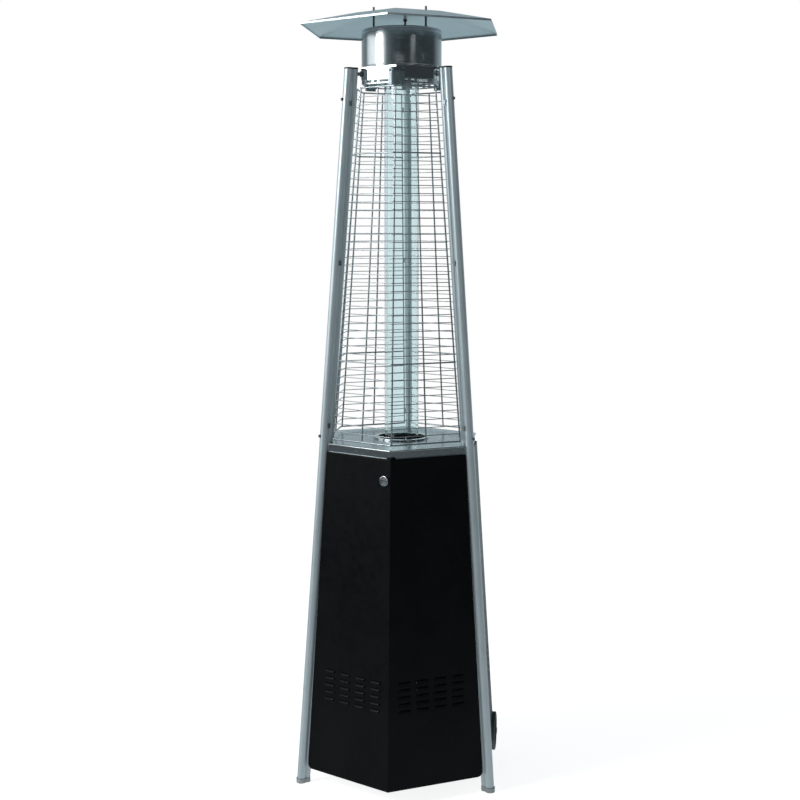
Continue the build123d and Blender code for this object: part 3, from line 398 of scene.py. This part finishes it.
MATERIALS = {
    "pole_metal": brushed("pole_metal", (0.63, 0.73, 0.77), 0.36, (6, 6, 0.12), 90, metallic=0.6),
    "black_coat": powder_coat("black_coat", (0.0016, 0.0021, 0.0026), 0.30),
    "dark_coat": powder_coat("dark_coat", (0.022, 0.022, 0.024), 0.5),
    "stainless": brushed("stainless", (0.56, 0.60, 0.62), 0.24, (0.4, 0.4, 8), 80),
    # deck: the stainless made darker, painted shade standing in for the shade on the deck's skirt
    "deck": brushed("deck", (0.45, 0.50, 0.52), 0.22, (0.4, 0.4, 8), 80),
    "polished": brushed("polished", (0.72, 0.75, 0.76), 0.07, (1, 1, 1), 25, 0.04, spread=0.05),
    "screen": brushed("screen", (0.56, 0.61, 0.63), 0.16, (1, 1, 6), 70, 0.02, edge=0.0001),
    "wire": brushed("wire", (0.50, 0.55, 0.57), 0.22, (3, 3, 3), 60, 0.1, edge=0.0003),
    "galvanised": brushed("galvanised", (0.26, 0.31, 0.34), 0.38, (1, 1, 1), 70, 0.2, spread=0.25),
    "fixing": brushed("fixing", (0.14, 0.15, 0.16), 0.35, (1, 1, 1), 300, 0.15),
    "glass": clear_glass("glass"),
    "seal": plastic("seal", (0.10, 0.10, 0.11), 0.7),
    "black_plastic": plastic("black_plastic", (0.012, 0.012, 0.013), 0.45),
    "grey_plastic": plastic("grey_plastic", (0.26, 0.29, 0.30), 0.35),
    "dark_grey": plastic("dark_grey", (0.10, 0.12, 0.13), 0.4),
    "ceramic": plastic("ceramic", (0.72, 0.70, 0.66), 0.25, 200, 0.05),
    "brass": brushed("brass", (0.66, 0.47, 0.17), 0.26, (1, 1, 1), 120, 0.1),
    "tyre": plastic("tyre", (0.060, 0.078, 0.086), 0.65, 350, 0.4),
    "reflector": brushed("reflector", (0.54, 0.64, 0.68), 0.33, (1, 5, 1), 45, 0.15),
    "pipe": brushed("pipe", (0.60, 0.33, 0.16), 0.3, (1, 1, 1), 90, 0.1),
    "light_print": plastic("light_print", (0.80, 0.81, 0.80), 0.5),
    "dark_print": plastic("dark_print", (0.030, 0.032, 0.034), 0.5),
}
OWN_MATERIAL = {
    "reflector": "reflector",
    "burner_pipe": "pipe",
    "feet": "grey_plastic",
    "deck": "deck",
    "latch_core": "dark_grey",
}


def dress_nodes():
    """Gives every CAD node its own material, or else the one of its slot."""
    for part in frame["record"]["subparts"]:
        name = part["node"]
        mesh = frame["nodes"][name].data
        chosen = MATERIALS[OWN_MATERIAL.get(name, part["material_slot"])]
        if not mesh.materials:
            mesh.materials.append(chosen)
        for i in range(len(mesh.materials)):
            mesh.materials[i] = chosen


# ---------------------------------------------------------------- guards
GUARD_ROWS = 43
ROW_ABOVE_FOOT = 0.025
ROW_PITCH = 0.0227
THICK_ROWS = (9, 35)
WIRE_R = 0.0013
BAR_R = 0.0024
GUARD_SHEET = 0.004
ROW_OUT = 0.0015
BAR_IN = 0.0018
BEND_BAR_IN = 0.004
END_GAP = 0.016
BEND_R = 0.007
BEND_STEPS = 5


def bent_run(bend, r, z, gap=END_GAP):
    """A level run along two facets, with a rounded bend at the corner between them."""
    corner = polar(r, bend, z)
    ends = [polar(r, bend + side * CORNER_TURN, z) for side in (-1, 1)]
    ends = [end + (corner - end) * (gap / SIN60 / r) for end in ends]
    toward = [(end - corner).normalized() * BEND_R for end in ends]
    arc = []
    for i in range(BEND_STEPS + 1):
        share = i / BEND_STEPS
        arc.append(corner + toward[0] * (1 - share) ** 2 + toward[1] * share ** 2)
    return [ends[0], *arc, ends[1]]


def upright_run(bend, side, share, r_at, low_z, high_z, inward):
    """An upright run on a facet: share 0 is at the bend, 1 at the pole end."""
    points = []
    for z in (low_z, high_z):
        r = r_at(z) - inward
        run = bent_run(bend, r, z)
        corner = polar(r, bend, z)
        end = run[0] if side < 0 else run[-1]
        points.append(corner + (end - corner) * share)
    return points


def guard(name, bend):
    """One wire guard: level wires outside upright bars, in a bar frame."""
    taper = Taper("guard_" + name, bend)
    middle = GUARD_SHEET * COS30 / 2

    def wire_line(z):
        """The corner radius at the middle of the guard's thickness."""
        return taper.at(z) - middle

    low_z, high_z = taper.low_z + BAR_R, taper.high_z - BAR_R
    runs = [(bent_run(bend, wire_line(z), z), BAR_R) for z in (low_z, high_z)]
    for i in range(GUARD_ROWS):
        z = taper.low_z + ROW_ABOVE_FOOT + i * ROW_PITCH
        radius = BAR_R if i in THICK_ROWS else WIRE_R
        runs.append((bent_run(bend, wire_line(z) + ROW_OUT, z), radius))
    for side in (-1, 1):
        for share in (0.5, 1.0):
            bar = upright_run(bend, side, share, wire_line, low_z, high_z, BAR_IN)
            runs.append((bar, BAR_R))
    runs.append((upright_run(bend, 1, 0.0, wire_line, low_z, high_z, BEND_BAR_IN), BAR_R))
    made = wires_object("guard_wires_" + name, runs)
    finish_piece(made, "heater", MATERIALS["wire"])
    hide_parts("guard_" + name)


# ---------------------------------------------------------------- flame screen
HOLE_PITCH = 0.0044
HOLE_R = 0.0008
SCREEN_SHEET = 0.0008
SCREEN_MARGIN = 0.004


class ScreenGrid:
    """The flame screen's vertices, on a half-pitch grid round the drum, each made once."""

    def __init__(self, low, high):
        self.radius = (high.x - low.x) / 2
        self.foot_z = low.z + SCREEN_MARGIN
        height = high.z - low.z - 2 * SCREEN_MARGIN
        self.columns = round(2 * math.pi * self.radius / HOLE_PITCH)
        self.rows = round(height / (HOLE_PITCH * SIN60))
        self.step_turn = 2 * math.pi / self.columns
        self.step_z = height / self.rows
        self.vertices = []
        self.index = {}

    def add(self, turn, z):
        """Adds a vertex at an angle and a height, and gives its number."""
        self.vertices.append(polar(self.radius, math.degrees(turn), z))
        return len(self.vertices) - 1

    def vertex(self, half_columns, half_rows):
        """The grid's own vertex at a place, shared by the holes around it."""
        key = (half_columns % (2 * self.columns), half_rows)
        if key not in self.index:
            z = self.foot_z + half_rows * self.step_z / 2
            self.index[key] = self.add(half_columns * self.step_turn / 2, z)
        return self.index[key]

    def hole_vertex(self, half_columns, half_rows, x, y):
        """A vertex on a hole's edge, in a direction from its centre."""
        share = HOLE_R / math.hypot(x, y)
        turn = half_columns * self.step_turn / 2 + share * x / self.radius
        return self.add(turn, self.foot_z + half_rows * self.step_z / 2 + share * y)

    def hole(self, half_columns, half_rows):
        """The faces between a hole's eight edge vertices and its square cell."""
        around = [(-1, -1), (0, -1), (1, -1), (1, 0), (1, 1), (0, 1), (-1, 1), (-1, 0)]
        outer = [self.vertex(half_columns + x, half_rows + y) for x, y in around]
        inner = [self.hole_vertex(half_columns, half_rows, x, y) for x, y in around]
        after = [(i + 1) % len(around) for i in range(len(around))]
        return [(outer[i], outer[j], inner[j], inner[i]) for i, j in enumerate(after)]

    def rim(self, edge_row, z_end):
        """The plain strip between the grid's first or last row and the sheet's end."""
        count = 2 * self.columns
        ends = [self.add(half * self.step_turn / 2, z_end) for half in range(count)]
        faces = []
        for half in range(count):
            after = (half + 1) % count
            grid = (self.index[(after, edge_row)], self.index[(half, edge_row)])
            quad = (ends[half], ends[after], *grid)
            faces.append(quad if edge_row == 0 else quad[::-1])
        return faces


def flame_screen():
    """The perforated drum: rows of staggered round holes in a rolled sheet."""
    low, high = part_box("flame_drum")
    grid = ScreenGrid(low, high)
    faces = []
    for row in range(grid.rows):
        for column in range(grid.columns):
            faces += grid.hole(2 * column + row % 2, 2 * row + 1)
    faces += grid.rim(0, low.z) + grid.rim(2 * grid.rows, high.z)
    made = mesh_object("flame_screen", grid.vertices, faces)
    finish_piece(made, "heater", MATERIALS["screen"], smooth=False)
    thicken(made, SCREEN_SHEET)
    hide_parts("flame_drum")


# ---------------------------------------------------------------- louvres
PANELS = {
    "front": ("front_door", "door"),
    "left": ("side_panel_left", "heater"),
    "right": ("side_panel_right", "heater"),
}
PANEL_BAND = 0.01
LOUVRE_W = 0.035
LOUVRE_COLUMNS = 4
LOUVRE_ROWS = 5
LOUVRE_PITCH_X = 0.056
LOUVRE_PITCH_Z = 0.0205
LOUVRE_FROM_BEND = 0.133
LOUVRE_MID_Z = 0.3125
HOOD_ACROSS = 14
HOOD_DOWN = 6
HOOD_SIDE = 0.002
HOOD_OUT = 0.0042
HOOD_ABOVE = 0.0055
HOOD_BELOW = 0.0018
HOOD_ARCH = 0.4
HOOD_END_RISE = 5.5
HOOD_SHEET = 0.0009


def hood(vertices, faces, place):
    """One pressed hood, open below, its ends running down to the sheet."""
    first, row = len(vertices), HOOD_DOWN + 1
    for i in range(HOOD_ACROSS + 1):
        across = i / HOOD_ACROSS
        x = (across - 0.5) * (LOUVRE_W + 2 * HOOD_SIDE)
        rise = math.sin(min(1.0, min(across, 1 - across) * HOOD_END_RISE) * math.pi / 2)
        depth = (HOOD_ABOVE + HOOD_BELOW) * (1 - HOOD_ARCH + HOOD_ARCH * rise)
        for j in range(row):
            down = j / HOOD_DOWN
            z = HOOD_OUT * math.sin(down * math.pi / 2) * rise
            vertices.append(place @ Vector((x, HOOD_ABOVE - depth * down, z)))
    for i in range(HOOD_ACROSS):
        for j in range(HOOD_DOWN):
            a = first + i * row + j
            faces.append((a, a + 1, a + row + 1, a + row))


def louvre_hoods(name, node, body):
    """All the hoods of a bent panel."""
    bend = BENDS[name]
    taper = Taper(node, bend, PANEL_BAND)
    half = taper.at(LOUVRE_MID_Z) / 2
    vertices, faces = [], []
    for side in (-1, 1):
        angle = bend + side * FACET_TURN
        for column in range(LOUVRE_COLUMNS):
            offset = (column - (LOUVRE_COLUMNS - 1) / 2) * LOUVRE_PITCH_X
            shift = -side * (half - LOUVRE_FROM_BEND - offset)
            for row in range(LOUVRE_ROWS):
                z = LOUVRE_MID_Z + (row - (LOUVRE_ROWS - 1) / 2) * LOUVRE_PITCH_Z
                hood(vertices, faces, facet_frame(angle, shift, z, taper.at))
    made = mesh_object("louvre_hoods_" + name, vertices, faces)
    finish_piece(made, body, MATERIALS["black_coat"])
    thicken(made, HOOD_SHEET)


# ---------------------------------------------------------------- head trim and burner
BEAD_R = 0.0013
BEAD_STEP = 4
SEAM_ANGLE = 75
SEAM_HALF = 0.006
SEAM_LIFT = 0.0009
SEAM_STEPS = 6
SEAM_RIVETS = 6
RIVET_R = 0.0022
RIVET_H = 0.0011
DECK_BEAD_R = 0.0022
DECK_BEAD_GAP = 0.0145
DECK_RIM_BAND = 0.0005
GAUZE_PITCH = 0.002
GAUZE_WIRE_R = 0.00035
GAUZE_STEPS = 6


def drum_beads():
    """The rolled beads round the flame screen's two ends."""
    low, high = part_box("flame_drum")
    radius = (high.x - low.x) / 2
    loops = []
    for z in (low.z + 2.5 * BEAD_R, high.z - BEAD_R):
        loops.append(([polar(radius, a, z) for a in range(0, 360, BEAD_STEP)], BEAD_R))
    made = wires_object("drum_beads", loops, sides=2, closed=True)
    finish_piece(made, "heater", MATERIALS["stainless"])


def drum_seam():
    """The flame screen's riveted lap seam."""
    low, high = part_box("flame_drum")
    radius = (high.x - low.x) / 2
    vertices, faces = [], []
    spread = math.degrees(SEAM_HALF / radius)
    for z in (low.z + 4 * BEAD_R, high.z - 3 * BEAD_R):
        for i in range(SEAM_STEPS + 1):
            angle = SEAM_ANGLE + spread * (2 * i / SEAM_STEPS - 1)
            lift = 0.0 if i in (0, SEAM_STEPS) else SEAM_LIFT
            vertices.append(polar(radius + lift, angle, z))
    for i in range(SEAM_STEPS):
        faces.append((i, i + 1, i + SEAM_STEPS + 2, i + SEAM_STEPS + 1))
    out = polar(1, SEAM_ANGLE) - AXIS
    turn = out.to_track_quat("Z", "Y").to_matrix().to_4x4()
    for i in range(SEAM_RIVETS):
        z = low.z + (high.z - low.z) * (i + 0.5) / SEAM_RIVETS
        at = Matrix.Translation(polar(radius + SEAM_LIFT, SEAM_ANGLE, z))
        domed(vertices, faces, at @ turn, RIVET_R, RIVET_H)
    made = mesh_object("drum_seam", vertices, faces)
    finish_piece(made, "heater", MATERIALS["stainless"])


def deck_bead():
    """The rolled hem along the deck's top rim, between the poles."""
    points = points_of("deck")
    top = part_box("deck")[1].z
    rim = points[np.abs(points[:, 2] - top) < DECK_RIM_BAND]
    corner_r = float(np.hypot(rim[:, 0] - AXIS.x, rim[:, 1] - AXIS.y).max())
    runs = []
    for bend in BENDS.values():
        run = bent_run(bend, corner_r, top - DECK_BEAD_R, DECK_BEAD_GAP)
        runs.append((run, DECK_BEAD_R))
    made = wires_object("deck_bead", runs, sides=2)
    finish_piece(made, "heater", MATERIALS["polished"])


def burner_gauze():
    """The burner's woven gauze, domed over the crown."""
    low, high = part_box("burner_screen")
    radius, rise = (high.x - low.x) / 2, high.z - low.z - 2 * GAUZE_WIRE_R
    centre = (low + high) / 2
    count = int(radius / GAUZE_PITCH)
    runs = []
    for i in range(-count, count + 1):
        offset = i * GAUZE_PITCH
        half = math.sqrt(max(radius ** 2 - offset ** 2, 0))
        for along_x in (True, False):
            points = []
            for step in range(2 * GAUZE_STEPS + 1):
                along = half * (step / GAUZE_STEPS - 1)
                share = min((along ** 2 + offset ** 2) / radius ** 2, 1)
                weave = GAUZE_WIRE_R * (1 if (step + i) % 2 else -1) * (1 if along_x else -1)
                z = max(low.z + rise * math.sqrt(1 - share) + weave, low.z + GAUZE_WIRE_R)
                x, y = (along, offset) if along_x else (offset, along)
                points.append(Vector((centre.x + x, centre.y + y, z)))
            runs.append((points, GAUZE_WIRE_R))
    made = wires_object("burner_gauze", runs)
    finish_piece(made, "heater", MATERIALS["fixing"])
    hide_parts("burner_screen")


# ---------------------------------------------------------------- controls
PRINT_H = 0.00015
DIAL_R = 0.0265
DIAL_START = 90
DIAL_SWEEP = 180
DIAL_TICKS = 9
LONG_TICK_EVERY = 4
TICK_L = 0.003
TICK_HALF_TURN = 0.9
LONG_TICK_HALF_TURN = 1.6
ARC_GAP = 0.0045
ARC_THIN = 0.0004
ARC_THICK = 0.0024
ARC_END = 65
SPARK_UP = 0.022
SPARK_OUTLINE = (
    (0.0, 0.006), (-0.0026, 0.0), (-0.0004, 0.0004), (-0.0012, -0.0052),
    (0.0026, 0.0012), (0.0004, 0.0008), (0.002, 0.006),
)
POINTER_HALF = 0.0009
POINTER_START = 0.004
POINTER_END = 0.014
POINTER_STEPS = 8
POINTER_SUNK = 0.0002
POINTER_OUT = 0.0004


def wedge(inner, low_w, high_w, start, end, steps=24):
    """The outline of an arc that widens from one end to the other."""
    outline = []
    for i in range(steps + 1):
        turn = math.radians(start + (end - start) * i / steps)
        outline.append((inner * math.cos(turn), inner * math.sin(turn)))
    for i in range(steps, -1, -1):
        turn = math.radians(start + (end - start) * i / steps)
        r = inner + low_w + (high_w - low_w) * i / steps
        outline.append((r * math.cos(turn), r * math.sin(turn)))
    return outline


def control_marks():
    """The dial's printed ticks and widening arc, and a spark mark by the igniter."""
    knob = joint_frame("knob_turn", "control_knob")
    vertices, faces = [], []
    low = height_on("control_plate", knob)
    for i in range(DIAL_TICKS):
        half = TICK_HALF_TURN if i % LONG_TICK_EVERY else LONG_TICK_HALF_TURN
        angle = DIAL_START - DIAL_SWEEP * i / (DIAL_TICKS - 1)
        outline = wedge(DIAL_R, TICK_L, TICK_L, angle - half, angle + half, steps=2)
        raised(vertices, faces, outline, knob, low, low + PRINT_H)
    outline = wedge(DIAL_R + ARC_GAP, ARC_THIN, ARC_THICK, ARC_END, -ARC_END)
    raised(vertices, faces, outline, knob, low, low + PRINT_H)
    igniter = joint_frame("igniter_push", "igniter_button")
    above = igniter @ Matrix.Translation((0, SPARK_UP, 0))
    low = height_on("control_plate", igniter)
    raised(vertices, faces, SPARK_OUTLINE, above, low, low + PRINT_H)
    made = mesh_object("control_marks", vertices, faces)
    finish_piece(made, "heater", MATERIALS["dark_print"], smooth=False)


def knob_pointer():
    """The raised pointer along the knob's grip, round at both ends."""
    knob = joint_frame("knob_turn", "control_knob")
    top = height_on("control_knob", knob)
    outline = []
    for end, start in ((POINTER_END, -90), (POINTER_START, 90)):
        for i in range(POINTER_STEPS + 1):
            turn = math.radians(start + 180 * i / POINTER_STEPS)
            outline.append((end + POINTER_HALF * math.sin(turn), POINTER_HALF * math.cos(turn)))
    vertices, faces = [], []
    raised(vertices, faces, outline, knob, top - POINTER_SUNK, top + POINTER_OUT)
    made = mesh_object("knob_pointer", vertices, faces)
    finish_piece(made, "knob", MATERIALS["light_print"], smooth=False)


# ---------------------------------------------------------------- tyres
TREAD_STEPS = 144
TREAD_BLOCK = 4
TREAD_DEPTH = 0.0018
GROOVE_IN = 0.20
GROOVE_OUT = 0.34
CROWN_DROP = 0.0016
CROWN_STEPS = 12
CROWN_REACH = 10
# A sidewall's points: share of the half width, and height over the bore or depth under the crown.
BORE_POINTS = ((0.80, 0.0), (0.95, 0.002), (0.97, 0.006))
SHOULDER_POINTS = ((0.97, 0.006), (0.92, 0.003))


def tread_drop(across, step):
    """How far the tread lies below the crown, across the tyre and round it."""
    groove = GROOVE_IN < abs(across) < GROOVE_OUT
    notch = abs(across) >= GROOVE_OUT and step % TREAD_BLOCK == 0
    return CROWN_DROP * across ** 2 + (TREAD_DEPTH if groove or notch else 0.0)


def tyre(side):
    """A solid rubber tyre with ribbed and notched tread."""
    node = "wheel_tyre_" + side
    low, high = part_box(node)
    centre = (low + high) / 2
    half_w, outer = (high.x - low.x) / 2, (high.z - low.z) / 2
    points = points_of(node)
    inner = float(np.hypot(points[:, 1] - centre.y, points[:, 2] - centre.z).min())
    wall = [(across, inner + height) for across, height in BORE_POINTS]
    wall.append((1.0, (inner + outer) / 2))
    wall += [(across, outer - depth) for across, depth in SHOULDER_POINTS]
    crown = [i / CROWN_STEPS for i in range(-CROWN_REACH, CROWN_REACH + 1)]
    vertices, faces = [], []
    for step in range(TREAD_STEPS):
        turn = 2 * math.pi * step / TREAD_STEPS
        profile = [(-across, r) for across, r in wall]
        profile += [(across, outer - tread_drop(across, step)) for across in crown]
        profile += wall[::-1]
        for across, r in profile:
            place = Vector((across * half_w, r * math.cos(turn), r * math.sin(turn)))
            vertices.append(centre + place)
    count = len(profile)
    for step in range(TREAD_STEPS):
        here, after = step * count, (step + 1) % TREAD_STEPS * count
        for i in range(count):
            j = (i + 1) % count
            faces.append((here + i, after + i, after + j, here + j))
    made = mesh_object("tyre_" + side, vertices, faces)
    finish_piece(made, "wheel_" + side, MATERIALS["tyre"], smooth=False)
    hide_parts(node)


# ---------------------------------------------------------------- camera, light and floor
CAMERA_AT = Vector((0.492, -4.004, 1.653))
CAMERA_YAW = 7.09
CAMERA_DOWN = 7.37
CAMERA_LENS = 61.46
CAMERA_SENSOR = 36

# A light's name, place, target, size and power.
LIGHTS = (
    ("key", (-3.6, -2.2, 3.4), (0, 0, 1.2), (1.6, 2.2), 70),
    ("fill", (2.8, -3.4, 3.6), (0, 0, 1.0), (1.0, 1.6), 8),
)

WALL_TOWARD = (-0.968, -0.250, 0.0)
ROOM_STOPS = (
    (-1.00, (0.05, 0.06, 0.065)),
    (-0.30, (0.025, 0.03, 0.035)),
    (0.10, (0.04, 0.05, 0.055)),
    (0.56, (0.08, 0.10, 0.11)),
    (0.78, (0.20, 0.23, 0.24)),
    (0.88, (1.20, 1.24, 1.26)),
    (1.00, (1.60, 1.64, 1.66)),
)
WHITE = (1, 1, 1, 1)
BEHIND_COLOUR = (0.46, 0.56, 0.59, 1)
BEHIND_FROM = (0.35, 0.95)
BELOW_COLOUR = (0.10, 0.13, 0.14, 1)
BELOW_FROM = (0.04, -0.06)
THROUGH_COLOUR = (0.72, 0.82, 0.85, 1)
FLOOR_HALF = 6.0
FLOOR_DROP = 0.0005
FLOOR_COLOUR = (0.85, 0.86, 0.86)
FLOOR_GLOW = 0.86
FLOOR_BEHIND_FROM = (0.5, 3.0)
POOL_REACH = 5
POOL_STOPS = ((0.2, (0.34, 0.38, 0.40)), (0.9, (0.03, 0.035, 0.04)))


def camera():
    """The camera: in front, a little to the right, looking slightly down."""
    data = bpy.data.cameras.new("camera")
    data.lens = CAMERA_LENS
    data.sensor_width = CAMERA_SENSOR
    made = bpy.data.objects.new("camera", data)
    made.location = CAMERA_AT
    made.rotation_euler = (math.radians(90 - CAMERA_DOWN), 0, math.radians(CAMERA_YAW))
    bpy.context.scene.collection.objects.link(made)
    bpy.context.scene.camera = made


def area_light(name, at, target, size, power):
    """A soft rectangular light aimed at a point."""
    data = bpy.data.lights.new(name, "AREA")
    data.shape = "RECTANGLE"
    data.size, data.size_y = size
    data.energy = power
    made = bpy.data.objects.new(name, data)
    made.location = at
    made.rotation_euler = (Vector(target) - Vector(at)).to_track_quat("-Z", "Y").to_euler()
    made.visible_camera = False
    bpy.context.scene.collection.objects.link(made)


def world():
    """A white backdrop to the eye; to the object, a dark room with a bright wall on its left."""
    made = bpy.data.worlds.new("studio")
    bpy.context.scene.world = made
    made.use_nodes = True
    made.node_tree.nodes.clear()
    graph = Graph(made.node_tree)
    place = graph.node("ShaderNodeTexCoord").outputs["Generated"]
    toward = graph.node("ShaderNodeVectorMath", operation="DOT_PRODUCT")
    graph.link(place, toward.inputs[0])
    toward.inputs[1].default_value = WALL_TOWARD
    stops = [((facing + 1) / 2, colour) for facing, colour in ROOM_STOPS]
    room = graph.ramp(graph.spread(toward.outputs["Value"], -1, 1), stops)
    room = graph.blend(graph.spread(graph.along(place, "Z"), *BELOW_FROM), room, BELOW_COLOUR)
    room = graph.blend(graph.spread(graph.along(place, "Y"), *BEHIND_FROM), room, BEHIND_COLOUR)
    rays = graph.node("ShaderNodeLightPath")
    shown = graph.pick(
        rays.outputs["Is Transmission Ray"],
        graph.glow("ShaderNodeBackground", room),
        graph.glow("ShaderNodeBackground", THROUGH_COLOUR),
    )
    white = graph.glow("ShaderNodeBackground", WHITE)
    shown = graph.pick(rays.outputs["Is Camera Ray"], shown, white)
    graph.link(shown, graph.node("ShaderNodeOutputWorld").inputs["Surface"])


def floor():
    """A pale floor, seen as a fading pool of light in reflections and plain through the glass."""
    corners = [(x * FLOOR_HALF, y * FLOOR_HALF, 0) for x, y in ((-1, -1), (1, -1), (1, 1), (-1, 1))]
    made = mesh_object("floor", corners, [(0, 1, 2, 3)])
    made.location.z = -FLOOR_DROP
    bpy.context.scene.collection.objects.link(made)
    shade = Shader("floor", FLOOR_COLOUR, rough=0.8)
    shade.set("Specular IOR Level", 0.0)
    shade.set("Emission Color", WHITE)
    shade.set("Emission Strength", FLOOR_GLOW)
    away = shade.node("ShaderNodeVectorMath", operation="LENGTH")
    shade.link(shade.place, away.inputs[0])
    pool = shade.ramp(shade.spread(away.outputs["Value"], 0, POOL_REACH), POOL_STOPS)
    behind = shade.spread(shade.along(shade.place, "Y"), *FLOOR_BEHIND_FROM)
    pool = shade.blend(behind, pool, BEHIND_COLOUR)
    rays = shade.node("ShaderNodeLightPath")
    shown = shade.pick(
        rays.outputs["Is Glossy Ray"],
        shade.bsdf.outputs["BSDF"],
        shade.glow("ShaderNodeEmission", pool),
    )
    through = shade.glow("ShaderNodeEmission", THROUGH_COLOUR)
    shown = shade.pick(rays.outputs["Is Transmission Ray"], shown, through)
    shade.link(shown, shade.tree.nodes["Material Output"].inputs["Surface"])
    made.data.materials.append(shade.material)


def studio():
    """Camera, world, floor and lights."""
    camera()
    world()
    floor()
    for light in LIGHTS:
        area_light(*light)
    bpy.context.scene.view_settings.view_transform = "Standard"


# ---------------------------------------------------------------- the heater
studio()
dress_nodes()
for guard_name, guard_bend in BENDS.items():
    guard(guard_name, guard_bend)
flame_screen()
drum_beads()
drum_seam()
deck_bead()
burner_gauze()
control_marks()
knob_pointer()
for wheel_side in ("left", "right"):
    tyre(wheel_side)
for panel_name, (panel_node, panel_body) in PANELS.items():
    louvre_hoods(panel_name, panel_node, panel_body)
